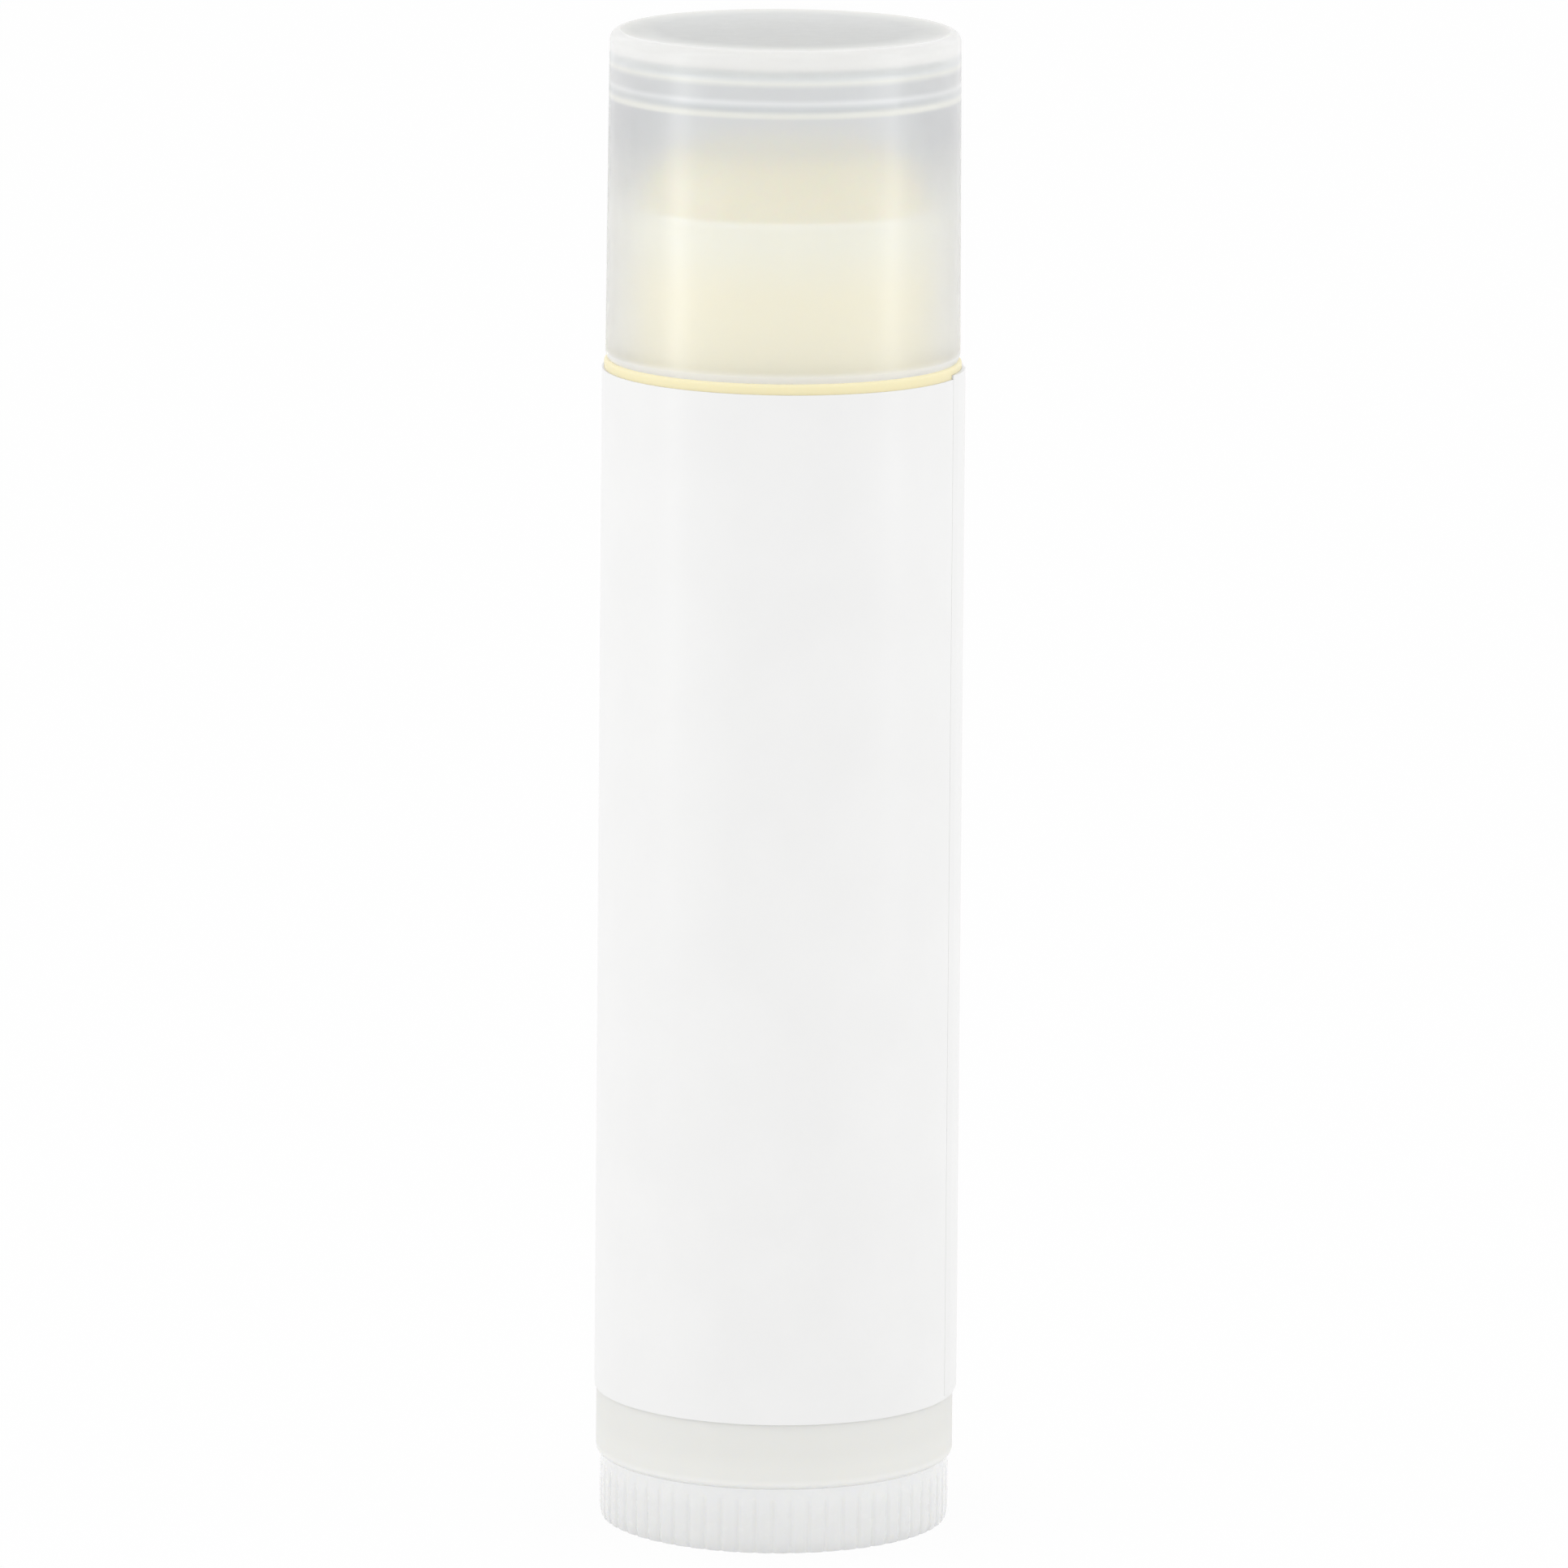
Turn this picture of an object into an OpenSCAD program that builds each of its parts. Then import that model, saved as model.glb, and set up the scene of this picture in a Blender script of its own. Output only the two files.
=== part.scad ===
// A twist-up lip balm stick, standing upright with its cap on.
// Millimetres, +Z up, origin at the centre of the ring that the thumbwheel stands on.
// The front, as the photograph shows it, faces -Y.

/* [Tube] */
// Outside diameter of the tube at its foot
tube_d = 16; // [14:0.1:20]
// How much the outside diameter narrows from the foot to the shoulder
tube_draft = 0.18; // [0:0.02:0.4]
// Height of the tube from its foot to the shoulder that the cap rests on
barrel_h = 49.55; // [35:0.05:75]
// Wall of the tube at its foot, around the bore that holds the balm
wall = 1.85; // [1.5:0.05:2.6]
// Wall of the neck that the cap slides over
neck_wall = 0.58; // [0.4:0.02:0.9]
// Height of the neck above the shoulder
neck_h = 6.9; // [5:0.1:12]
// Thickness of the tube's floor
floor_t = 1.2; // [0.8:0.1:2.5]
// Radius of the rounded edge at the tube's foot
foot_round = 0.4; // [0.1:0.05:0.8]
// Radius of the rounded edges of the shoulder and the neck's rim
rim_round = 0.15; // [0.05:0.05:0.25]

/* [Keys in the bore] */
// Number of straight keys that keep the carrier and the balm from turning
key_count = 4; // [2:1:6]
// Width of a key
key_w = 0.8; // [0.5:0.1:1.5]
// How far a key stands in from the bore's wall
key_h = 0.35; // [0.2:0.05:0.45]
// Distance from the neck's rim down to the top of the keys
key_drop = 3; // [1:0.5:10]

/* [Thumbwheel] */
// Height of the thumbwheel
wheel_h = 2.85; // [2:0.05:8]
// How far the rib crests are set back from the edge of the tube's foot
wheel_inset = 0.18; // [0:0.02:0.6]
// Distance from one grip rib to the next around the rim
rib_pitch = 0.79; // [0.5:0.01:1.5]
// Depth of the valleys between the ribs
rib_depth = 0.15; // [0.05:0.01:0.25]
// Height of the smooth band above the ribs
band_h = 0.44; // [0.2:0.02:1]
// How far the smooth band is set back from the rib crests
band_inset = 0.03; // [0:0.01:0.1]
// Height of the bevel along the ribs' lower ends
bevel_h = 0.37; // [0.1:0.01:0.6]
// How far that bevel cuts in
bevel_in = 0.08; // [0.02:0.01:0.14]
// Width of the ring that the thumbwheel stands on
stand_w = 1.2; // [0.6:0.1:3]
// Depth of the shallow recess inside that ring
recess_h = 0.4; // [0.1:0.05:1]

/* [Screw] */
// Diameter over the thread's crests
thread_d = 4.8; // [4:0.1:6]
// Depth of the thread
thread_depth = 0.7; // [0.4:0.05:1]
// Rise of the carrier in one turn of the thumbwheel
thread_lead = 6; // [4:0.25:10]
// Number of thread starts
thread_starts = 2; // [1:1:3]
// Distance from the neck's rim down to the screw's tip
tip_drop = 2.9; // [1:0.1:10]
// Height of the pointed end of the screw
tip_h = 0.8; // [0.3:0.1:2]
// How far the snap barb stands out past the hole in the tube's floor
barb_out = 0.3; // [0.1:0.05:0.5]
// Height of the snap barb
barb_h = 0.8; // [0.4:0.1:1.5]

/* [Carrier cup] */
// Height of the carrier cup
cup_h = 6; // [4:0.1:9]
// Wall of the cup
cup_wall = 0.8; // [0.6:0.05:1.2]
// Thickness of the cup's floor
cup_floor_t = 1; // [0.6:0.1:2]
// Wall of the threaded sleeve in the cup's middle
nut_wall = 1; // [0.6:0.1:1.4]
// Number of fins that join the sleeve to the cup and grip the balm
fin_count = 4; // [2:1:6]
// Thickness of a fin
fin_t = 0.7; // [0.4:0.1:1.2]
// Height of a fin above the cup's floor
fin_h = 3; // [1:0.1:4]

/* [Balm] */
// How far the balm stands above the neck's rim when it is wound down
balm_proud = 2.4; // [0.5:0.1:5]
// Radius of the balm's rounded top edge
balm_round = 2; // [0.5:0.1:3]

/* [Cap] */
// Air between the top of the balm and the inside of the cap
head_room = 4.2; // [1:0.1:8]
// Thickness of the cap's top
cap_top_t = 1.1; // [0.8:0.1:2.5]
// How far the cap's mouth is set back from the edge of the shoulder
cap_inset = 0.06; // [0:0.01:0.2]
// How much the cap's outside diameter narrows from mouth to top
cap_draft = 0.2; // [0:0.02:0.4]
// Radius of the rounded edge at the cap's top
cap_round = 0.4; // [0.1:0.05:0.8]
// Height of the bevelled lip around the cap's mouth
lip_h = 0.29; // [0.1:0.01:0.6]
// How far the lip's bevel cuts in
lip_in = 0.1; // [0.02:0.01:0.3]
// Depth of the narrower room under the cap's top
step_h = 1.6; // [0.6:0.1:2.5]
// How far the wall of that room stands in from the cap's bore
step_in = 0.35; // [0.1:0.05:0.5]
// Radius of the corner between that wall and the ceiling
ceiling_round = 0.45; // [0.1:0.05:0.5]

/* [Label] */
// Thickness of the label film
label_t = 0.08; // [0.04:0.01:0.15]
// Bare stretch of tube below the label
label_foot = 2.95; // [1:0.05:10]
// Bare stretch of tube above the label
label_drop = 0.5; // [0.2:0.05:5]
// Width of the strip where the label's end laps over its start
lap_w = 2.5; // [1:0.1:6]
// How much higher the lapping end lies than the start
lap_rise = 0.18; // [0:0.02:0.4]
// Direction of the lap's edge around the tube, in degrees from +X
lap_at = -20; // [-180:1:180]

/* [Clearances] */
// Gap between the thumbwheel and the tube's foot
run_gap = 0.1; // [0.05:0.01:0.3]
// Radial gap between the thread's crests and the hole in the floor
hole_gap = 0.1; // [0.08:0.01:0.2]
// Radial gap of the screw's journal in that hole
journal_gap = 0.05; // [0.02:0.01:0.07]
// Gap between the snap barb and the top of the floor
barb_gap = 0.1; // [0.05:0.01:0.3]
// Gap around the barb inside the carrier
clear_gap = 0.3; // [0.2:0.05:0.5]
// Radial gap between the thread and the carrier's thread
thread_gap = 0.2; // [0.15:0.01:0.3]
// Gap between the carrier and the tube's floor when wound down
lift_gap = 0.3; // [0.1:0.05:1]
// Radial gap between the carrier or the balm and the bore
cup_gap = 0.1; // [0.05:0.01:0.2]
// Gap around each key in its groove
key_gap = 0.15; // [0.1:0.01:0.2]
// Radial gap between the thread and the balm poured around it
screw_gap = 0.25; // [0.2:0.01:0.5]
// Hairline between the balm and the carrier it is poured into
pour_gap = 0.02; // [0.01:0.01:0.05]
// Radial gap between the neck and the cap
cap_gap = 0.05; // [0.02:0.01:0.1]
// Glue line under the label
glue_gap = 0.01; // [0.01:0.01:0.03]

/* [Hidden] */
$fn = 96;

// Pieces of arc in a rounded corner
arc_steps = 6;
// Points around the thread's section, and slices in one turn of it
thread_points = 16;
thread_slices = 16;
// Depth that one solid sinks into another where they are fused
fuse = 0.2;

// Heights, from the foot upwards
foot_z = wheel_h + run_gap;
floor_z = foot_z + floor_t;
shoulder_z = foot_z + barrel_h;
rim_z = shoulder_z + neck_h;
balm_z = rim_z + balm_proud;
ceiling_z = balm_z + head_room;
cap_z = ceiling_z + cap_top_t;
barb_z = floor_z + barb_gap;
thread_z = barb_z + barb_h;
tip_z = rim_z - tip_drop;
cup_z = floor_z + lift_gap;
cup_floor_z = cup_z + cup_floor_t;
cup_rim_z = cup_z + cup_h;
key_top_z = rim_z - key_drop;

// Radii, from the axis outwards
foot_r = tube_d / 2;
thread_r = thread_d / 2;
hole_r = thread_r + hole_gap;
journal_r = hole_r - journal_gap;
barb_r = hole_r + barb_out;
nut_r = thread_r + thread_gap + nut_wall;
bore_r = foot_r - wall;
key_r = bore_r - key_h;
cup_r = bore_r - cup_gap;
cup_in_r = cup_r - cup_wall;
neck_r = bore_r + neck_wall;
shoulder_r = foot_r - tube_draft / 2;
crest_r = foot_r - wheel_inset;
valley_r = crest_r - rib_depth;
band_r = crest_r - band_inset;
cap_bore_r = neck_r + cap_gap;
mouth_r = shoulder_r - cap_inset;
cap_r = mouth_r - cap_draft / 2;

// Points of an arc around [x, y], from angle a to angle b
function arc(x, y, r, a, b) =
    [for (i = [0:arc_steps]) let (t = a + (b - a) * i / arc_steps) [x + r * cos(t), y + r * sin(t)]];

// Outside radius of the drafted tube at height z
function tube_r(z) = foot_r - tube_draft / 2 * (z - foot_z) / barrel_h;

// Radius of the thread's section at angle t, one lobe for each start
function thread_section(t) = thread_r - thread_depth * (1 - cos(thread_starts * t)) / 2;

// A stretch of the left-handed thread, in phase at any height
module thread(z, top_z, grow = 0) {
    turns = (top_z - z) / thread_lead;
    step = 360 / thread_points;
    translate([0, 0, z])
        rotate([0, 0, -360 * z / thread_lead])
            linear_extrude(height = top_z - z, twist = 360 * turns, slices = ceil(turns * thread_slices),
                segments = thread_points)
                polygon([for (i = [0:thread_points - 1])
                    (thread_section(i * step) + grow) * [cos(i * step), sin(i * step)]]);
}

// Straight bars at the keys' places, from radius r outwards
module key_bars(r, reach, w, z, top_z) {
    for (i = [0:key_count - 1])
        rotate([0, 0, 360 * i / key_count])
            translate([r, -w / 2, z])
                cube([reach, w, top_z - z]);
}

// Upright fins from the threaded sleeve to the cup's wall, between the keys
module fins(r, out_r, t, z, top_z) {
    for (i = [0:fin_count - 1])
        rotate([0, 0, 360 * (i + 0.5) / fin_count])
            translate([r, -t / 2, z])
                cube([out_r - r, t, top_z - z]);
}

// Frosted cap with a bevelled mouth and a narrower room under its top
module cap() {
    lead_in = lip_in;
    step_r = cap_bore_r - step_in;
    step_z = ceiling_z - step_h;
    color([0.93, 0.94, 0.93, 0.6])
        rotate_extrude()
            polygon(concat(
                [[cap_bore_r, shoulder_z + lead_in], [cap_bore_r + lead_in, shoulder_z]],
                [[mouth_r - lip_in, shoulder_z], [mouth_r, shoulder_z + lip_h]],
                arc(cap_r - cap_round, cap_z - cap_round, cap_round, 0, 90),
                [[0, cap_z], [0, ceiling_z]],
                arc(step_r - ceiling_round, ceiling_z - ceiling_round, ceiling_round, 90, 0),
                [[step_r, step_z], [cap_bore_r, step_z - step_in]]));
}

// Tube with its floor, shoulder, neck and straight keys
module tube_body() {
    color([0.94, 0.94, 0.91, 0.7]) {
        rotate_extrude()
            polygon(concat(
                [[hole_r, foot_z]],
                arc(foot_r - foot_round, foot_z + foot_round, foot_round, -90, 0),
                arc(shoulder_r - rim_round, shoulder_z - rim_round, rim_round, 0, 90),
                [[neck_r, shoulder_z]],
                arc(neck_r - rim_round, rim_z - rim_round, rim_round, 0, 90),
                [[bore_r, rim_z], [bore_r, floor_z], [hole_r, floor_z]]));
        key_bars(key_r, key_h + fuse, key_w, floor_z - fuse, key_top_z);
    }
}

// Thin white film around the tube, with the strip where it laps over itself
module label() {
    low_z = foot_z + label_foot;
    high_z = shoulder_z - label_drop;
    module film(z, top_z, in_gap, out_gap) {
        polygon([[tube_r(z) + in_gap, z], [tube_r(z) + out_gap, z],
            [tube_r(top_z) + out_gap, top_z], [tube_r(top_z) + in_gap, top_z]]);
    }
    outer = glue_gap + label_t;
    color([0.96, 0.96, 0.96]) {
        rotate_extrude()
            film(low_z, high_z, glue_gap, outer);
        rotate([0, 0, lap_at])
            rotate_extrude(angle = lap_w / foot_r * 180 / PI)
                film(low_z + lap_rise, high_z + lap_rise, outer - label_t / 2, outer + label_t);
    }
}

// Ribbed thumbwheel and the screw that is moulded with it
module thumbwheel_screw() {
    rib_count = round(2 * PI * crest_r / rib_pitch);
    half_pitch = PI * crest_r / rib_count;
    rib_r = (half_pitch * half_pitch + rib_depth * rib_depth) / (2 * rib_depth);
    stand_r = crest_r - bevel_in;
    rib_top_z = wheel_h - band_h;
    module grip_section() {
        circle(r = valley_r);
        for (i = [0:rib_count - 1])
            rotate(360 * i / rib_count)
                translate([crest_r - rib_r, 0])
                    circle(r = rib_r, $fn = 48);
    }
    color([0.92, 0.92, 0.91, 0.8]) {
        intersection() {
            linear_extrude(height = rib_top_z)
                grip_section();
            rotate_extrude()
                polygon([[0, recess_h], [stand_r - stand_w - recess_h, recess_h], [stand_r - stand_w, 0],
                    [stand_r, 0], [crest_r, bevel_h], [crest_r + fuse, bevel_h],
                    [crest_r + fuse, rib_top_z], [0, rib_top_z]]);
        }
        translate([0, 0, rib_top_z])
            cylinder(r = band_r, h = band_h);
        translate([0, 0, wheel_h - fuse])
            cylinder(r = journal_r, h = barb_z - wheel_h + 2 * fuse);
        translate([0, 0, barb_z])
            cylinder(r1 = barb_r, r2 = journal_r + fuse, h = barb_h);
        thread(thread_z - fuse, tip_z - tip_h);
        translate([0, 0, tip_z - tip_h - fuse])
            cylinder(r1 = thread_r - thread_depth - fuse, r2 = (thread_r - thread_depth) / 2, h = tip_h + fuse);
    }
}

// Keyed cup that the screw winds up and down, with the balm in it
module carrier_cup() {
    room_z = thread_z + clear_gap;
    color([0.95, 0.95, 0.94])
        difference() {
            union() {
                rotate_extrude()
                    polygon([[0, cup_z], [cup_r, cup_z], [cup_r, cup_rim_z], [cup_in_r, cup_rim_z],
                        [cup_in_r, cup_floor_z], [nut_r, cup_floor_z], [nut_r, cup_rim_z], [0, cup_rim_z]]);
                fins(nut_r - fuse, cup_in_r + fuse, fin_t, cup_floor_z - fuse, cup_floor_z + fin_h);
            }
            key_bars(key_r - key_gap, key_h + cup_wall, key_w + 2 * key_gap, cup_z - fuse, cup_rim_z + fuse);
            translate([0, 0, cup_z - fuse])
                cylinder(r = barb_r + clear_gap, h = room_z - cup_z + fuse);
            thread(room_z - fuse, cup_rim_z + fuse, thread_gap);
        }
}

// Wax stick poured into the carrier and around the screw
module balm_stick() {
    hole_top_z = tip_z + clear_gap;
    balm_bore_r = thread_r + screw_gap;
    seat_z = cup_rim_z + pour_gap;
    fin_top_z = cup_floor_z + fin_h + pour_gap;
    color([0.94, 0.92, 0.8])
        difference() {
            rotate_extrude()
                polygon(concat(
                    [[nut_r + pour_gap, cup_floor_z], [cup_in_r - pour_gap, cup_floor_z]],
                    [[cup_in_r - pour_gap, seat_z], [cup_r, seat_z]],
                    arc(cup_r - balm_round, balm_z - balm_round, balm_round, 0, 90),
                    [[0, balm_z], [0, hole_top_z], [balm_bore_r, hole_top_z]],
                    [[balm_bore_r, seat_z], [nut_r + pour_gap, seat_z]]));
            key_bars(key_r - key_gap, key_h + cup_wall, key_w + 2 * key_gap, seat_z - fuse, key_top_z + key_gap);
            fins(nut_r, cup_in_r, fin_t + 2 * pour_gap, cup_floor_z - fuse, fin_top_z);
        }
}

cap();
tube_body();
label();
thumbwheel_screw();
carrier_cup();
balm_stick();
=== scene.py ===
"""Looks of a twist-up lip balm stick: frosted cap, tube and wheel, blank wrapped label and balm."""

import math

import bmesh
import bpy
from mathutils import Matrix, Vector


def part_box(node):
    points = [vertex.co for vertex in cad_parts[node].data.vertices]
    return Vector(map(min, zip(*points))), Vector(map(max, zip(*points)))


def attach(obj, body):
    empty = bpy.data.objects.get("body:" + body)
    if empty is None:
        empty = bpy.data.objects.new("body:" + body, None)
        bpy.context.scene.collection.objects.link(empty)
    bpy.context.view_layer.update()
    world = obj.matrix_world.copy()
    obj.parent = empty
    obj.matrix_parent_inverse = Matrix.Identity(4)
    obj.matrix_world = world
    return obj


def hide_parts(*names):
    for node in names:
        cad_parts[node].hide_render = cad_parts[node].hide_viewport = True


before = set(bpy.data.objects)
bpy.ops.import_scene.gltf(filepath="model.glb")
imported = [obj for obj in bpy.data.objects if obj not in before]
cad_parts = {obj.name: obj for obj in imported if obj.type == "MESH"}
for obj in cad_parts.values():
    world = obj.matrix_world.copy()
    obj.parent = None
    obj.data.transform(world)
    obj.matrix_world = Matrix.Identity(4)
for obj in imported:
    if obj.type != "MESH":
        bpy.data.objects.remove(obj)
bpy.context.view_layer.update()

MM = 0.001
ROUND = 192
SHARP_ANGLE = math.radians(38)
ARC_STEPS = 8
HOLD = 0.05 * MM
ON_AXIS = 1e-9

# Low and high corners of the pieces, read from their parts in model.glb
CAP_LOW, CAP_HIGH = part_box("cap")
TUBE_LOW, TUBE_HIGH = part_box("tube_body")
LABEL_LOW, LABEL_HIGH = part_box("label")
WHEEL_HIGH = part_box("thumbwheel_screw")[1]
CARRIER_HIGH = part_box("carrier_cup")[1]
BALM_LOW, BALM_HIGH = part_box("balm_stick")

# Tube
FOOT_Z = TUBE_LOW.z
RIM_Z = TUBE_HIGH.z
SHOULDER_Z = CAP_LOW.z
FOOT_R = TUBE_HIGH.x
TUBE_DRAFT = 0.09 * MM
SHOULDER_R = FOOT_R - TUBE_DRAFT
FOOT_ROUND = 0.25 * MM
RIM_ROUND = 0.15 * MM
NECK_ROUND = 0.3 * MM
FLOOR_T = 1.2 * MM
HOLE_R = 2.5 * MM
BORE_R = FOOT_R - 1.85 * MM
NECK_R = BORE_R + 0.58 * MM
KEY_COUNT = 4
KEY_W = 0.8 * MM
KEY_H = 0.35 * MM
KEY_DROP = 3 * MM
KEY_ROOT = 0.2 * MM

# Cap
CAP_MOUTH_R = CAP_HIGH.x
CAP_TOP_R = CAP_MOUTH_R - 0.1 * MM
CAP_ROUND = 0.5 * MM
CAP_TOP_T = 1.1 * MM
DISC_R = CAP_TOP_R - CAP_ROUND
CAP_BORE_R = NECK_R + 0.05 * MM
LIP_H = 0.29 * MM
LIP_IN = 0.1 * MM
STEP_H = 1.6 * MM
STEP_IN = 0.35 * MM
CEILING_ROUND = 0.45 * MM

# Label
LABEL_T = 0.078 * MM
GLUE_GAP = 0.01 * MM
LAP_W = 2.5 * MM
LAP_RISE = 0.18 * MM
LAP_AT = math.radians(-20)
LAP_RAMP_W = 0.5 * MM
LAP_GAP = 0.002 * MM
LABEL_COLUMNS = 480
EDGE_HOLD = 0.04 * MM
FEATHER_W = 0.5 * MM
FEATHER_SHARE = 0.9
CURL_W = 0.3 * MM
CURL_RISE = 0.02 * MM

# Thumbwheel and screw
CREST_R = WHEEL_HIGH.x
RIB_COUNT = 62
RIB_DEPTH = 0.09 * MM
RIB_TOP = 0.62
RIB_END = 0.3
RIB_FADE = 0.12 * MM
RIB_COLUMNS = 14
CROWN = 0.12
WHEEL_H = 2.92 * MM
BAND_H = 0.51 * MM
BAND_R = CREST_R - 0.03 * MM
BAND_EASE = 0.01 * MM
BEAD_H = 0.024 * MM
BEAD_R = 0.05 * MM
BEAD_STEPS = 4
BEVEL_H = 0.37 * MM
BEVEL_IN = 0.08 * MM
STAND_W = 1.2 * MM
FOOT_EASE = 0.02 * MM
RECESS_H = 0.4 * MM
JOURNAL_R = 2.45 * MM
BARB_R = 2.8 * MM
BARB_Z = FOOT_Z + FLOOR_T + 0.1 * MM
BARB_H = 0.8 * MM
THREAD_R = 2.4 * MM
THREAD_DEPTH = 0.7 * MM
THREAD_LEAD = 6 * MM
THREAD_STARTS = 2
THREAD_STEPS = 200
TIP_H = 0.8 * MM
TIP_R = 0.85 * MM
SCREW_COLUMNS = 48
SCREW_ROOT = 0.2 * MM

# Balm
BALM_R = BALM_HIGH.x + 0.07 * MM
BALM_ROUND = 2 * MM
DOME_STEPS = 16
CUP_IN_R = BALM_HIGH.x - 0.82 * MM
NUT_R = 3.62 * MM
SCREW_HOLE_R = THREAD_R + 0.25 * MM
GROOVE_W = 1.1 * MM
GROOVE_R = BALM_HIGH.x - 0.4 * MM
GROOVE_OVER = 0.15 * MM
SEAT_GAP = 0.02 * MM
TIP_GAP = 0.3 * MM
BALM_COLUMNS = 288

# Settings of the shaders
FROSTED_SHADER = {"IOR": 1.3, "Coat IOR": 1.49, "Coat Roughness": 0.27}
MILKY_SHADER = {
    "IOR": 1.49, "Specular IOR Level": 0.12, "Subsurface Weight": 0.3,
    "Subsurface Radius": (1, 0.9, 0.7), "Subsurface Scale": 0.8 * MM,
}
SHEEN_SHADER = {"Coat IOR": 1.45, "Coat Roughness": 0.12}
FILM_SHADER = {"Specular IOR Level": 0.6}
WAX_SHADER = {
    "IOR": 1.44, "Subsurface Weight": 0.5,
    "Subsurface Radius": (1, 0.7, 0.35), "Subsurface Scale": 1.2 * MM,
}
FLOOR_SHADER = {"Base Color": (0.85, 0.85, 0.85, 1), "Roughness": 1, "Specular IOR Level": 0}

# Noise of the surfaces, in waves per metre and detail, and the relief that it makes
CLOUD_NOISE = 180, 3
SATIN_NOISE = 1500, 4
SATIN_RELIEF = 0.001 * MM
FILM_CLOUD_NOISE = 250, 4
FILM_GRAIN_NOISE = 3000, 5
FILM_RELIEF = 0.003 * MM
WAX_CLOUD_NOISE = 220, 5
WAX_SATIN_NOISE = 700, 4
WAX_RELIEF = 0.02 * MM
# How strong that noise is where a roughness, and a colour, is at its low and at its high
ROUGHNESS_LEVELS = 0.3, 0.7
COLOUR_LEVELS = 0.35, 0.65

# Low and high of each roughness, and of each cloudy colour
CAP_ROUGHNESS = 0.3, 0.35
DISC_ROUGHNESS = 0.55, 0.65
TUBE_ROUGHNESS = 0.38, 0.46
WHEEL_ROUGHNESS = 0.24, 0.3
CARRIER_ROUGHNESS = 0.3, 0.4
FILM_ROUGHNESS = 0.28, 0.34
WAX_ROUGHNESS = 0.36, 0.52
CAP_COLOURS = (0.89, 0.9, 0.9), (0.91, 0.92, 0.92)
WHEEL_COLOURS = (0.845, 0.85, 0.845), (0.865, 0.87, 0.865)
CARRIER_COLOURS = (0.9, 0.9, 0.88), (0.92, 0.92, 0.9)
FILM_COLOURS = (0.88, 0.88, 0.875), (0.895, 0.895, 0.89)
WAX_COLOURS = (0.91, 0.86, 0.68), (0.94, 0.89, 0.72)

# Colours of the milky tube where the balm shows through it, and where it doesn't, lighter
# towards the lowest edge of its foot as painted light and a painted highlight
FOOT_EDGE_HIGHLIGHT = (0.92, 0.92, 0.9)
FOOT_LOW_PAINTED_LIGHT = (0.85, 0.85, 0.82)
FOOT_WHITE = (0.83, 0.83, 0.8)
COLLAR_CREAM = (0.93, 0.84, 0.55)
NECK_CREAM = (0.97, 0.9, 0.72)
NECK_WHITE = (0.93, 0.91, 0.8)
# Where those colours are, up the tube
TUBE_STOPS = [
    (FOOT_Z + 0.15 * MM, FOOT_EDGE_HIGHLIGHT), (FOOT_Z + 0.4 * MM, FOOT_LOW_PAINTED_LIGHT),
    (FOOT_Z + 0.9 * MM, FOOT_LOW_PAINTED_LIGHT), (FOOT_Z + 1.6 * MM, FOOT_WHITE),
    (FOOT_Z + 3 * MM, FOOT_WHITE), (SHOULDER_Z - 1 * MM, COLLAR_CREAM),
    (SHOULDER_Z + 0.05 * MM, COLLAR_CREAM), (SHOULDER_Z + 0.3 * MM, NECK_CREAM),
    (SHOULDER_Z + 3.5 * MM, NECK_CREAM), (RIM_Z - 1 * MM, NECK_WHITE),
]

# Tones of the milky cap's outside, painted light and shade for where its corner, its ceiling
# and the step inside show through: a grey painted shade over the empty room at its top, dark
# painted shade rings, light and cream painted highlight rings, and a white corner and lip that
# are partly the thicker plastic and partly a painted highlight. Each is a colour and how clear
# the plastic is there.
CAP_LOWER = (0.97, 0.97, 0.93), 0.93
CAP_UPPER_SHADE = (0.75, 0.76, 0.78), 0.93
CAP_DARK_RING_SHADE = (0.72, 0.75, 0.78), 0.93
CAP_CORNER = (0.85, 0.88, 0.9), 0.85
CAP_HIGHLIGHT_RING = (0.96, 0.97, 0.99), 0.75
CAP_CREAM_HIGHLIGHT = (0.98, 0.98, 0.92), 0.68
CAP_EDGE_WHITE_AND_HIGHLIGHT = (0.95, 0.95, 0.94), 0.42
CAP_RIM = (0.83, 0.84, 0.83), 0.46
# The grey of the flat of the top is painted shade.
CAP_DISC_SHADE = (0.69, 0.7, 0.7), 0.5
# How clear the cap's inside is
CAP_CLEAR = 0.95
# The rings of those tones of painted light and shade from the mouth up: millimetres below the
# top, and the tone there
CAP_RINGS = [
    (14.1, CAP_LOWER), (8.2, CAP_LOWER), (4.4, CAP_UPPER_SHADE), (3.03, CAP_UPPER_SHADE),
    (2.9, CAP_CREAM_HIGHLIGHT), (2.78, CAP_CREAM_HIGHLIGHT), (2.6, CAP_DARK_RING_SHADE), (2.5, CAP_DARK_RING_SHADE),
    (2.3, CAP_HIGHLIGHT_RING), (2.1, CAP_UPPER_SHADE), (1.65, CAP_UPPER_SHADE), (1.42, CAP_CREAM_HIGHLIGHT),
    (1.2, CAP_CORNER), (1, CAP_CORNER), (0.78, CAP_EDGE_WHITE_AND_HIGHLIGHT), (0, CAP_EDGE_WHITE_AND_HIGHLIGHT),
]
# The same on the flat of its top, greying inwards as painted shade: millimetres in from the
# rounded corner
DISC_RINGS = [(1.7, CAP_DISC_SHADE), (0.5, CAP_RIM), (0, CAP_EDGE_WHITE_AND_HIGHLIGHT)]

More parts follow.
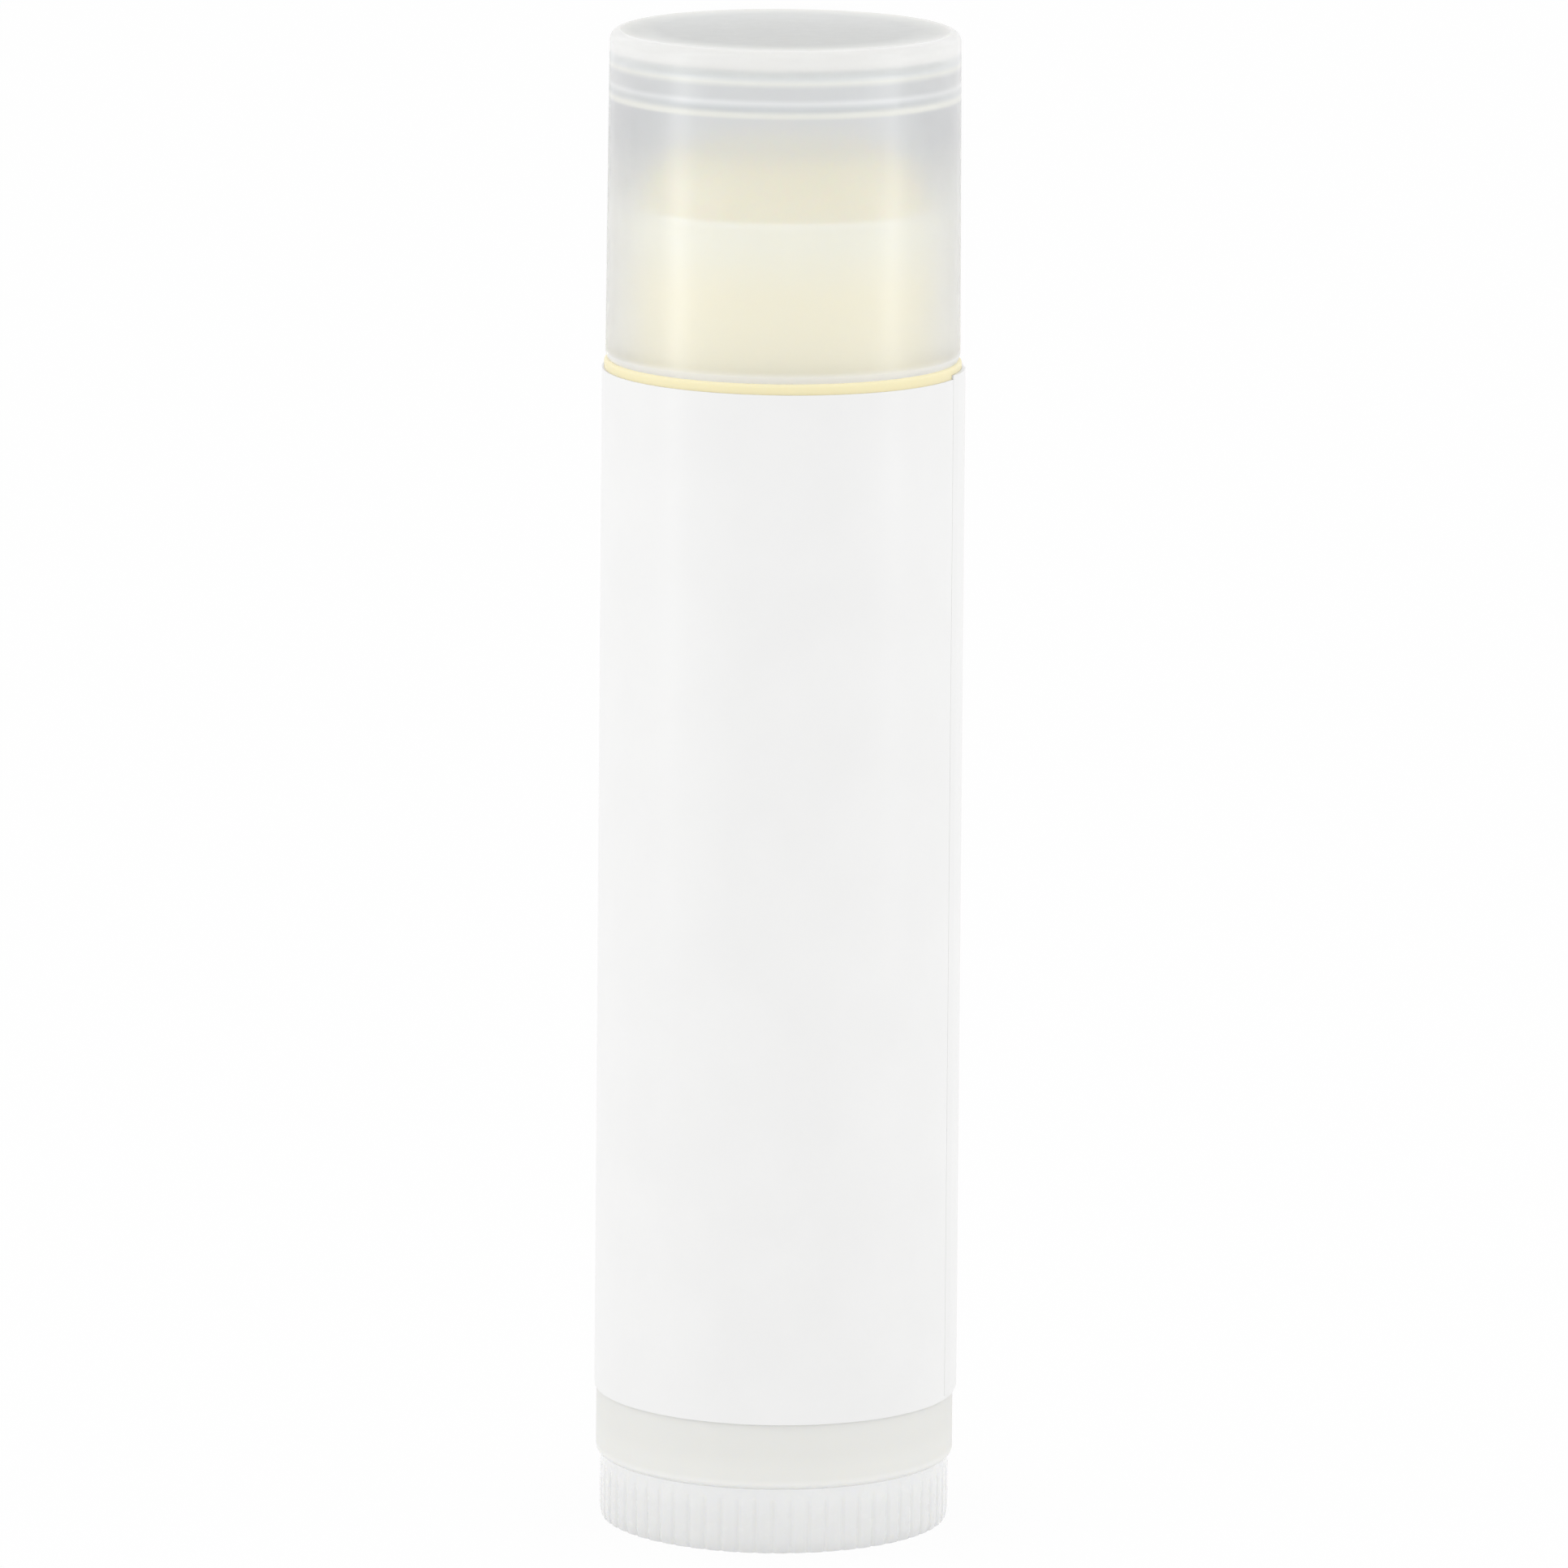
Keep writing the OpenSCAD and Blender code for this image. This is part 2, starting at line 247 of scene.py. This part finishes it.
# Camera, fitted to the photograph's ellipses and edges
CAMERA_PLACE = Vector((0.2047, -547.2, 136.057)) * MM
CAMERA_PITCH = math.radians(10.634)
CAMERA_ROLL = math.radians(0.4806)
CAMERA_LENS = 287.25
CAMERA_SENSOR = 36
CAMERA_CLIP = 0.01

# Studio, in metres. Each softbox has its angle from the front in degrees, and its watts.
FLOOR_SIZE = 6
FLOOR_GLOW = 0.96
SOFTBOX_SIZE = (0.03, 0.2)
SOFTBOX_HEIGHT = 0.1
SOFTBOX_DISTANCE = 0.17
SOFTBOX_AIM = Vector((0, 0, 0.034))
SOFTBOXES = {"softbox_left": (-72, 0.032), "softbox_right": (74, 0.025)}


def arc(r, z, radius, start, end, steps=ARC_STEPS):
    """Points of an arc around (r, z), from angle start to angle end in degrees."""
    turn = [math.radians(start + (end - start) * i / steps) for i in range(steps + 1)]
    return [(r + radius * math.cos(a), z + radius * math.sin(a)) for a in turn]


def held(points):
    """The closed profile with a point near each end of each long straight, for crisp shading."""
    out = []
    count = len(points)
    for i, (r, z) in enumerate(points):
        out.append((r, z))
        r2, z2 = points[(i + 1) % count]
        length = math.hypot(r2 - r, z2 - z)
        if length > 4 * HOLD:
            for share in (HOLD / length, 1 - HOLD / length):
                out.append((r + (r2 - r) * share, z + (z2 - z) * share))
    return out


def finished(name, mesh, material, body, slot, *nodes):
    """A piece made of the mesh, shaded, riding on its body and standing for its CAD nodes."""
    for polygon in mesh.polygons:
        polygon.use_smooth = True
    mesh.set_sharp_from_angle(angle=SHARP_ANGLE)
    piece = bpy.data.objects.new(name, mesh)
    bpy.context.scene.collection.objects.link(piece)
    piece.data.materials.append(material)
    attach(piece, body)
    if nodes:
        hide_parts(*nodes)
    return piece


def turned(name, points, radius_at=None, columns=ROUND):
    """A closed mesh turned about Z from a closed profile.

    radius_at(i, angle, z) may set the radius at any angle on the profile's point i.
    """
    mesh = bpy.data.meshes.new(name)
    bm = bmesh.new()
    rows = []
    for i, (r, z) in enumerate(points):
        if r < ON_AXIS:
            rows.append([bm.verts.new((0, 0, z))])
            continue
        row = []
        for c in range(columns):
            angle = 2 * math.pi * c / columns
            at = radius_at(i, angle, z) if radius_at else r
            row.append(bm.verts.new((at * math.cos(angle), at * math.sin(angle), z)))
        rows.append(row)
    for i, row in enumerate(rows):
        after = rows[(i + 1) % len(rows)]
        if len(row) == 1 and len(after) == 1:
            continue
        for c in range(columns):
            d = (c + 1) % columns
            corners = [row[c % len(row)], row[d % len(row)]]
            corners += [after[d % len(after)], after[c % len(after)]]
            bm.faces.new(list(dict.fromkeys(corners)))
    bmesh.ops.recalc_face_normals(bm, faces=bm.faces)
    bm.to_mesh(mesh)
    bm.free()
    return mesh


def tube_radius(z):
    """Outside radius of the drafted tube at height z."""
    return FOOT_R - TUBE_DRAFT * (z - FOOT_Z) / (SHOULDER_Z - FOOT_Z)


def parts_of(material):
    """The material's Principled shader and its lists of nodes and links."""
    material.use_nodes = True
    tree = material.node_tree
    return tree.nodes["Principled BSDF"], tree.nodes, tree.links


def new_material(name, settings):
    """A material with those settings on its Principled shader, and its parts."""
    material = bpy.data.materials.new(name)
    shader, nodes, links = parts_of(material)
    for socket, value in settings.items():
        shader.inputs[socket].default_value = value
    return material, shader, nodes, links


def noise(nodes, links, waves, detail):
    """Noise in the object's own space, in waves per metre."""
    place = nodes.new("ShaderNodeTexCoord")
    texture = nodes.new("ShaderNodeTexNoise")
    texture.inputs["Scale"].default_value = waves
    texture.inputs["Detail"].default_value = detail
    links.new(place.outputs["Object"], texture.inputs["Vector"])
    return texture.outputs["Fac"]


def map_range(nodes, links, socket, *ends):
    """The value mapped from one low and high to another, or to 0 and 1 if no other is given."""
    spread = nodes.new("ShaderNodeMapRange")
    for name, end in zip(("From Min", "From Max", "To Min", "To Max"), ends):
        spread.inputs[name].default_value = end
    links.new(socket, spread.inputs["Value"])
    return spread.outputs["Result"]


def colour_ramp(nodes, links, socket, stops):
    """A colour that follows a value. Each stop is a value from 0 to 1 and the colour there."""
    ramp = nodes.new("ShaderNodeValToRGB")
    elements = ramp.color_ramp.elements
    for element, (at, colour) in zip((elements[0], elements[1]), (stops[0], stops[-1])):
        element.position = at
        element.color = (*colour, 1)
    for at, colour in stops[1:-1]:
        element = elements.new(at)
        element.color = (*colour, 1)
    links.new(socket, ramp.inputs["Fac"])
    return ramp.outputs["Color"]


def ramp_along(nodes, links, socket, low, high, stops):
    """A colour that changes along a length, from low to high. Each stop is a place and a colour."""
    level = map_range(nodes, links, socket, low, high)
    shares = [((at - low) / (high - low), colour) for at, colour in stops]
    return colour_ramp(nodes, links, level, shares)


def add_cloud(nodes, links, shader, cloud, colours):
    """Drives the shader's colour by noise, between two colours."""
    value = noise(nodes, links, *cloud)
    colour = colour_ramp(nodes, links, value, list(zip(COLOUR_LEVELS, colours)))
    links.new(colour, shader.inputs["Base Color"])


def add_satin(nodes, links, shader, satin, roughness, relief):
    """Drives the shader's roughness by noise, between a low and a high, with a relief in metres."""
    value = noise(nodes, links, *satin)
    rough = map_range(nodes, links, value, *ROUGHNESS_LEVELS, *roughness)
    links.new(rough, shader.inputs["Roughness"])
    bump = nodes.new("ShaderNodeBump")
    bump.inputs["Strength"].default_value = 1
    bump.inputs["Distance"].default_value = relief
    links.new(value, bump.inputs["Height"])
    links.new(bump.outputs["Normal"], shader.inputs["Normal"])


def seen_by(nodes, links, *kinds):
    """One for the named kinds of ray, and nought for the others."""
    path = nodes.new("ShaderNodeLightPath")
    total = path.outputs[kinds[0]]
    for kind in kinds[1:]:
        either = nodes.new("ShaderNodeMath")
        either.operation = "MAXIMUM"
        links.new(total, either.inputs[0])
        links.new(path.outputs[kind], either.inputs[1])
        total = either.outputs["Value"]
    return total


def mix_in(nodes, links, share, surface, other):
    """Makes the material a mix of its surface and a share of the other."""
    mix = nodes.new("ShaderNodeMixShader")
    links.new(share, mix.inputs["Fac"])
    links.new(surface, mix.inputs[1])
    links.new(other, mix.inputs[2])
    links.new(mix.outputs["Shader"], nodes["Material Output"].inputs["Surface"])


def let_light_in(nodes, links, shader):
    """Lamps and soft light reach what is inside, as milky plastic scatters light onwards."""
    clear = nodes.new("ShaderNodeBsdfTransparent")
    share = seen_by(nodes, links, "Is Shadow Ray", "Is Diffuse Ray")
    mix_in(nodes, links, share, shader.outputs["BSDF"], clear.outputs["BSDF"])


def height_of(nodes, links):
    """The height above the base, in the piece's own space."""
    place = nodes.new("ShaderNodeTexCoord")
    axes = nodes.new("ShaderNodeSeparateXYZ")
    links.new(place.outputs["Object"], axes.inputs["Vector"])
    return axes.outputs["Z"]


def radius_of(nodes, links):
    """The distance from the stick's axis, in the piece's own space."""
    place = nodes.new("ShaderNodeTexCoord")
    flat = nodes.new("ShaderNodeMapping")
    flat.inputs["Scale"].default_value = (1, 1, 0)
    length = nodes.new("ShaderNodeVectorMath")
    length.operation = "LENGTH"
    links.new(place.outputs["Object"], flat.inputs["Vector"])
    links.new(flat.outputs["Vector"], length.inputs[0])
    return length.outputs["Value"]


def frosted(name, colours, clear, roughness, sheen):
    """Frosted polypropylene: it passes light, blurred, under a satin surface and a sheen."""
    material, shader, nodes, links = new_material(name, FROSTED_SHADER)
    shader.inputs["Transmission Weight"].default_value = clear
    shader.inputs["Coat Weight"].default_value = sheen
    add_cloud(nodes, links, shader, CLOUD_NOISE, colours)
    add_satin(nodes, links, shader, SATIN_NOISE, roughness, SATIN_RELIEF)
    let_light_in(nodes, links, shader)
    return material


def follow_tones(nodes, links, shader, socket, low, high, stops):
    """Drives a frosted plastic by its tones along a length. Each stop is a place and a tone."""
    colours = [(at, colour) for at, (colour, _) in stops]
    clears = [(at, (clear,) * 3) for at, (_, clear) in stops]
    colour = ramp_along(nodes, links, socket, low, high, colours)
    clear = ramp_along(nodes, links, socket, low, high, clears)
    links.new(colour, shader.inputs["Base Color"])
    links.new(clear, shader.inputs["Transmission Weight"])


def cap_disc():
    """The flat of the cap's top: matter than its rounded rim and greyer as painted shade, meeting
    it softly.
    """
    colour, clear = CAP_DISC_SHADE
    material = frosted("cap_top", (colour, colour), clear, DISC_ROUGHNESS, 0)
    shader, nodes, links = parts_of(material)
    stops = [(DISC_R - inward * MM, tone) for inward, tone in DISC_RINGS]
    follow_tones(nodes, links, shader, radius_of(nodes, links), 0, CAP_TOP_R, stops)
    return material


def cap_skin(inside):
    """The cap's outside: the plastic of its inside with soft rings of painted light and shade and a
    white rounded corner.
    """
    material = inside.copy()
    material.name = "cap_skin"
    shader, nodes, links = parts_of(material)
    # The lip and the rounded corner are white, partly as the thicker plastic and partly as a
    # painted highlight.
    stops = [(SHOULDER_Z, CAP_EDGE_WHITE_AND_HIGHLIGHT), (SHOULDER_Z + LIP_H, CAP_EDGE_WHITE_AND_HIGHLIGHT)]
    stops += [(CAP_HIGH.z - drop * MM, tone) for drop, tone in CAP_RINGS]
    follow_tones(nodes, links, shader, height_of(nodes, links), SHOULDER_Z, CAP_HIGH.z, stops)
    return material


def milky(name, roughness):
    """Milky polypropylene, lit from within, under a fine satin surface, with its parts."""
    material, shader, nodes, links = new_material(name, MILKY_SHADER)
    add_satin(nodes, links, shader, SATIN_NOISE, roughness, SATIN_RELIEF)
    return material, shader, nodes, links


def tube_moulding():
    """Milky tube plastic, creamier at its thin shoulder and neck, where the balm shows through,
    with a painted highlight low on its foot.
    """
    material, shader, nodes, links = milky("tube_plastic", TUBE_ROUGHNESS)
    colour = ramp_along(nodes, links, height_of(nodes, links), FOOT_Z, RIM_Z, TUBE_STOPS)
    links.new(colour, shader.inputs["Base Color"])
    let_light_in(nodes, links, shader)
    return material


def cloudy_milky(name, colours, roughness, sheen):
    """Milky plastic with a faint cloud in its colour and a share of clear sheen over it."""
    material, shader, nodes, links = milky(name, roughness)
    shader.inputs["Coat Weight"].default_value = sheen
    for socket, value in SHEEN_SHADER.items():
        shader.inputs[socket].default_value = value
    add_cloud(nodes, links, shader, CLOUD_NOISE, colours)
    let_light_in(nodes, links, shader)
    return material


def label_film():
    """Satin white film with a faint grain."""
    material, shader, nodes, links = new_material("label_film", FILM_SHADER)
    add_cloud(nodes, links, shader, FILM_CLOUD_NOISE, FILM_COLOURS)
    add_satin(nodes, links, shader, FILM_GRAIN_NOISE, FILM_ROUGHNESS, FILM_RELIEF)
    return material


def wax():
    """Pale cream balm, slightly see-through, with a soft sheen and faint bloom."""
    material, shader, nodes, links = new_material("balm_wax", WAX_SHADER)
    add_cloud(nodes, links, shader, WAX_CLOUD_NOISE, WAX_COLOURS)
    add_satin(nodes, links, shader, WAX_SATIN_NOISE, WAX_ROUGHNESS, WAX_RELIEF)
    return material


def make_cap(material, skin, top):
    """The pull-off cap, with a bevelled mouth, a narrower room at its top and a matter disc."""
    ceiling_z = CAP_HIGH.z - CAP_TOP_T
    step_r = CAP_BORE_R - STEP_IN
    step_z = ceiling_z - STEP_H
    points = [(CAP_BORE_R, SHOULDER_Z + LIP_IN), (CAP_BORE_R + LIP_IN, SHOULDER_Z)]
    points += [(CAP_MOUTH_R - LIP_IN, SHOULDER_Z), (CAP_MOUTH_R, SHOULDER_Z + LIP_H)]
    points += arc(CAP_TOP_R - CAP_ROUND, CAP_HIGH.z - CAP_ROUND, CAP_ROUND, 0, 90)
    points += [(0, CAP_HIGH.z), (0, ceiling_z)]
    points += arc(step_r - CEILING_ROUND, ceiling_z - CEILING_ROUND, CEILING_ROUND, 90, 0)
    points += [(step_r, step_z), (CAP_BORE_R, step_z - STEP_IN)]
    mesh = turned("cap_shell", held(points))
    cap = finished("cap_shell", mesh, material, "cap", "cap_plastic", "cap")
    cap.data.materials.append(skin)
    cap.data.materials.append(top)
    for polygon in cap.data.polygons:
        r = math.hypot(polygon.center.x, polygon.center.y)
        if r < DISC_R and polygon.center.z > ceiling_z + LIP_IN:
            polygon.material_index = 2
        elif r > CAP_BORE_R + LIP_IN:
            polygon.material_index = 1
    return cap


def make_tube(material):
    """The tube with its floor, shoulder and neck, and the keys along its bore."""
    floor_z = FOOT_Z + FLOOR_T
    points = [(HOLE_R, FOOT_Z)]
    points += arc(FOOT_R - FOOT_ROUND, FOOT_Z + FOOT_ROUND, FOOT_ROUND, -90, 0)
    points += arc(SHOULDER_R - RIM_ROUND, SHOULDER_Z - RIM_ROUND, RIM_ROUND, 0, 90)
    points += [(NECK_R, SHOULDER_Z)]
    points += arc(NECK_R - NECK_ROUND, RIM_Z - NECK_ROUND, NECK_ROUND, 0, 90)
    points += [(BORE_R, RIM_Z), (BORE_R, floor_z), (HOLE_R, floor_z)]
    mesh = turned("tube_shell", held(points))
    tube = finished("tube_shell", mesh, material, "tube", "tube_plastic", "tube_body")
    mesh = bpy.data.meshes.new("bore_keys")
    bm = bmesh.new()
    for i in range(KEY_COUNT):
        low = Vector((BORE_R - KEY_H, -KEY_W / 2, floor_z))
        high = Vector((BORE_R + KEY_ROOT, KEY_W / 2, RIM_Z - KEY_DROP))
        size = Matrix.Diagonal((*(high - low), 1))
        turn = Matrix.Rotation(2 * math.pi * i / KEY_COUNT, 4, "Z")
        place = turn @ Matrix.Translation((low + high) / 2) @ size
        bmesh.ops.create_cube(bm, size=1, matrix=place)
    bm.to_mesh(mesh)
    bm.free()
    finished("bore_keys", mesh, material, "tube", "tube_plastic")
    return tube


def make_label(material):
    """The film wrapped once around the tube, a little askew, lapping over its own start."""
    lap = LAP_W / FOOT_R
    ramp = LAP_RAMP_W / FOOT_R
    full = 2 * math.pi + lap
    start = LAP_AT + lap
    low_z = LABEL_LOW.z
    high_z = LABEL_HIGH.z - LAP_RISE
    over = LABEL_T + LAP_GAP
    mesh = bpy.data.meshes.new("label_wrap")
    bm = bmesh.new()
    rings = []
    for c in range(LABEL_COLUMNS + 1):
        turn = full * c / LABEL_COLUMNS
        angle = start - turn
        rise = LAP_RISE * turn / full
        lifted = min(1, max(0, (turn - (2 * math.pi - ramp)) / ramp))
        lift = GLUE_GAP + (over if lifted == 1 else 0)
        ending = min(1, (full - turn) * FOOT_R / FEATHER_W)
        film = over * lifted * lifted * (3 - 2 * lifted) + GLUE_GAP
        film += LABEL_T * (1 - FEATHER_SHARE + FEATHER_SHARE * ending)
        curl = CURL_RISE * max(0, 1 - (full - turn) * FOOT_R / CURL_W) ** 2
        over_z = high_z + (EDGE_HOLD / 2 if lifted == 1 else rise - EDGE_HOLD)
        inner = [(low_z + rise, lift), (low_z + rise + EDGE_HOLD, lift), (over_z, lift)]
        inner += [(over_z + EDGE_HOLD / 2, GLUE_GAP), (high_z + rise, GLUE_GAP)]
        outer = [(high_z + rise + curl, film + curl), (high_z + rise - EDGE_HOLD, film)]
        outer += [(high_z - CURL_W, film), (low_z + rise + EDGE_HOLD, film), (low_z + rise, film)]
        ring = []
        for z, out in inner + outer:
            r = tube_radius(z) + out
            ring.append(bm.verts.new((r * math.cos(angle), r * math.sin(angle), z)))
        rings.append(ring)
    around = len(rings[0])
    for a, b in zip(rings, rings[1:]):
        for i in range(around):
            j = (i + 1) % around
            bm.faces.new((a[i], a[j], b[j], b[i]))
    for ring in (rings[0], rings[-1]):
        bm.faces.new(ring)
    bmesh.ops.recalc_face_normals(bm, faces=bm.faces)
    bm.to_mesh(mesh)
    bm.free()
    return finished("label_wrap", mesh, material, "tube", "label_film", "label")


def make_wheel(material):
    """The thumbwheel with its rounded grip ribs, and the screw moulded with it."""
    rib_top_z = WHEEL_H - BAND_H
    stand_r = CREST_R - BEVEL_IN
    bead = arc(BAND_R - BEAD_R, WHEEL_H + BEAD_H - BEAD_R, BEAD_R, 0, 90, BEAD_STEPS)
    # Each row is a radius, a height and the share of the ribs' depth there
    rows = [(0, RECESS_H, 0), (stand_r - STAND_W - RECESS_H, RECESS_H, 0)]
    rows += [(stand_r - STAND_W, 0, 0), (stand_r - 2 * RIB_DEPTH, 0, 0)]
    rows += [(stand_r, FOOT_EASE, 1), (CREST_R, BEVEL_H, 1)]
    rows += [(CREST_R, BEVEL_H + RIB_FADE, 1), (CREST_R, rib_top_z - 5 * RIB_FADE, 1)]
    rows += [(CREST_R - BAND_EASE, rib_top_z, RIB_END), (BAND_R, rib_top_z + RIB_FADE / 2, 0)]
    rows += [(r, z, 0) for r, z in bead]
    rows += [(BAND_R - 3 * BEAD_R, WHEEL_H, 0), (JOURNAL_R, WHEEL_H, 0), (0, WHEEL_H, 0)]

    def ribbed(i, angle, z):
        r, _, depth = rows[i]
        off = abs((angle * RIB_COUNT / (2 * math.pi) + 0.5) % 1 - 0.5) * 2
        flank = max(0, (off - RIB_TOP) / (1 - RIB_TOP))
        drop = CROWN * off * off + (1 - CROWN) * flank * flank * (3 - 2 * flank)
        return r - depth * RIB_DEPTH * drop

    mesh = turned("thumbwheel", [row[:2] for row in rows], ribbed, RIB_COUNT * RIB_COLUMNS)
    wheel = finished("thumbwheel", mesh, material, "wheel", "wheel_plastic", "thumbwheel_screw")
    root_z = WHEEL_H - SCREW_ROOT
    thread_z = BARB_Z + BARB_H
    thread_h = WHEEL_HIGH.z - TIP_H - thread_z
    points = [(0, root_z), (JOURNAL_R, root_z), (JOURNAL_R, BARB_Z), (BARB_R, BARB_Z)]
    points += [(JOURNAL_R + SCREW_ROOT, thread_z)]
    first = len(points)
    heights = [thread_z + thread_h * i / THREAD_STEPS for i in range(THREAD_STEPS + 1)]
    points += [(THREAD_R, z) for z in heights]
    last = len(points)
    points += [(TIP_R, WHEEL_HIGH.z), (0, WHEEL_HIGH.z)]

    def threaded(i, angle, z):
        if not first <= i < last:
            return points[i][0]
        turn = angle + 2 * math.pi * z / THREAD_LEAD
        return THREAD_R - THREAD_DEPTH * (1 - math.cos(THREAD_STARTS * turn)) / 2

    screw = turned("lift_screw", points, threaded, SCREW_COLUMNS)
    finished("lift_screw", screw, material, "wheel", "wheel_plastic", "thumbwheel_screw")
    return wheel


def make_balm(material):
    """The poured balm with its rounded top, grooved by the keys."""
    seat_z = CARRIER_HIGH.z + SEAT_GAP
    hole_z = WHEEL_HIGH.z + TIP_GAP
    groove_z = RIM_Z - KEY_DROP + GROOVE_OVER
    points = [(NUT_R, BALM_LOW.z), (CUP_IN_R, BALM_LOW.z), (CUP_IN_R, seat_z), (BALM_R, seat_z)]
    points += [(BALM_R, groove_z), (BALM_R, groove_z + SEAT_GAP)]
    points += arc(BALM_R - BALM_ROUND, BALM_HIGH.z - BALM_ROUND, BALM_ROUND, 0, 90, DOME_STEPS)
    points += [(0, BALM_HIGH.z), (0, hole_z), (SCREW_HOLE_R, hole_z)]
    points += [(SCREW_HOLE_R, seat_z), (NUT_R, seat_z)]
    points = held(points)

    def grooved(i, angle, z):
        r = points[i][0]
        quarter = 2 * math.pi / KEY_COUNT
        off = abs((angle + quarter / 2) % quarter - quarter / 2)
        low_enough = z < groove_z + SEAT_GAP / 2
        in_groove = off < GROOVE_W / 2 / BALM_R and r > GROOVE_R and low_enough
        return GROOVE_R if in_groove else r

    mesh = turned("balm_bullet", points, grooved, BALM_COLUMNS)
    return finished("balm_bullet", mesh, material, "carrier", "balm_wax", "balm_stick")


def make_world():
    """An even white room."""
    world = bpy.data.worlds.new("studio")
    bpy.context.scene.world = world
    world.use_nodes = True
    background = world.node_tree.nodes["Background"]
    background.inputs["Color"].default_value = (1, 1, 1, 1)
    background.inputs["Strength"].default_value = 1


def make_floor():
    """A pale floor that looks white and keeps the object's shadow."""
    bpy.ops.mesh.primitive_plane_add(size=FLOOR_SIZE)
    floor = bpy.context.object
    floor.name = "floor"
    material, shader, nodes, links = new_material("floor_white", FLOOR_SHADER)
    glow = nodes.new("ShaderNodeEmission")
    glow.inputs["Strength"].default_value = 1
    share = nodes.new("ShaderNodeMath")
    share.operation = "MULTIPLY"
    share.inputs[1].default_value = FLOOR_GLOW
    seen = seen_by(nodes, links, "Is Camera Ray", "Is Glossy Ray", "Is Transmission Ray")
    links.new(seen, share.inputs[0])
    lit, bright = shader.outputs["BSDF"], glow.outputs["Emission"]
    mix_in(nodes, links, share.outputs["Value"], lit, bright)
    floor.data.materials.append(material)


def softbox(name, azimuth, power):
    """A tall soft light at an angle in degrees from the front, aimed at the stick's middle."""
    data = bpy.data.lights.new(name, "AREA")
    data.shape = "RECTANGLE"
    data.size, data.size_y = SOFTBOX_SIZE
    data.energy = power
    lamp = bpy.data.objects.new(name, data)
    turn = math.radians(azimuth)
    out = SOFTBOX_DISTANCE
    lamp.location = (out * math.sin(turn), -out * math.cos(turn), SOFTBOX_HEIGHT)
    aim = SOFTBOX_AIM - lamp.location
    lamp.rotation_euler = aim.to_track_quat("-Z", "Y").to_euler()
    lamp.visible_camera = False
    bpy.context.scene.collection.objects.link(lamp)


def make_camera():
    """The photograph's camera: a long lens, looking down a little."""
    data = bpy.data.cameras.new("camera")
    data.lens = CAMERA_LENS
    data.sensor_width = CAMERA_SENSOR
    data.clip_start = CAMERA_CLIP
    camera = bpy.data.objects.new("camera", data)
    down = Matrix.Rotation(math.pi / 2 - CAMERA_PITCH, 4, "X")
    look = down @ Matrix.Rotation(CAMERA_ROLL, 4, "Z")
    camera.matrix_world = Matrix.Translation(CAMERA_PLACE) @ look
    bpy.context.scene.collection.objects.link(camera)
    bpy.context.scene.camera = camera


make_camera()
bpy.context.scene.view_settings.view_transform = "Standard"
cap_plastic = frosted("cap_plastic", CAP_COLOURS, CAP_CLEAR, CAP_ROUGHNESS, 1)
tube_plastic = tube_moulding()
wheel_plastic = cloudy_milky("wheel_plastic", WHEEL_COLOURS, WHEEL_ROUGHNESS, 1)
carrier_plastic = cloudy_milky("carrier_plastic", CARRIER_COLOURS, CARRIER_ROUGHNESS, 0)
make_cap(cap_plastic, cap_skin(cap_plastic), cap_disc())
make_tube(tube_plastic)
make_label(label_film())
make_wheel(wheel_plastic)
make_balm(wax())
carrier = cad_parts["carrier_cup"]
carrier.data.materials.clear()
carrier.data.materials.append(carrier_plastic)
make_world()
make_floor()
for lamp_name, (azimuth, power) in SOFTBOXES.items():
    softbox(lamp_name, azimuth, power)
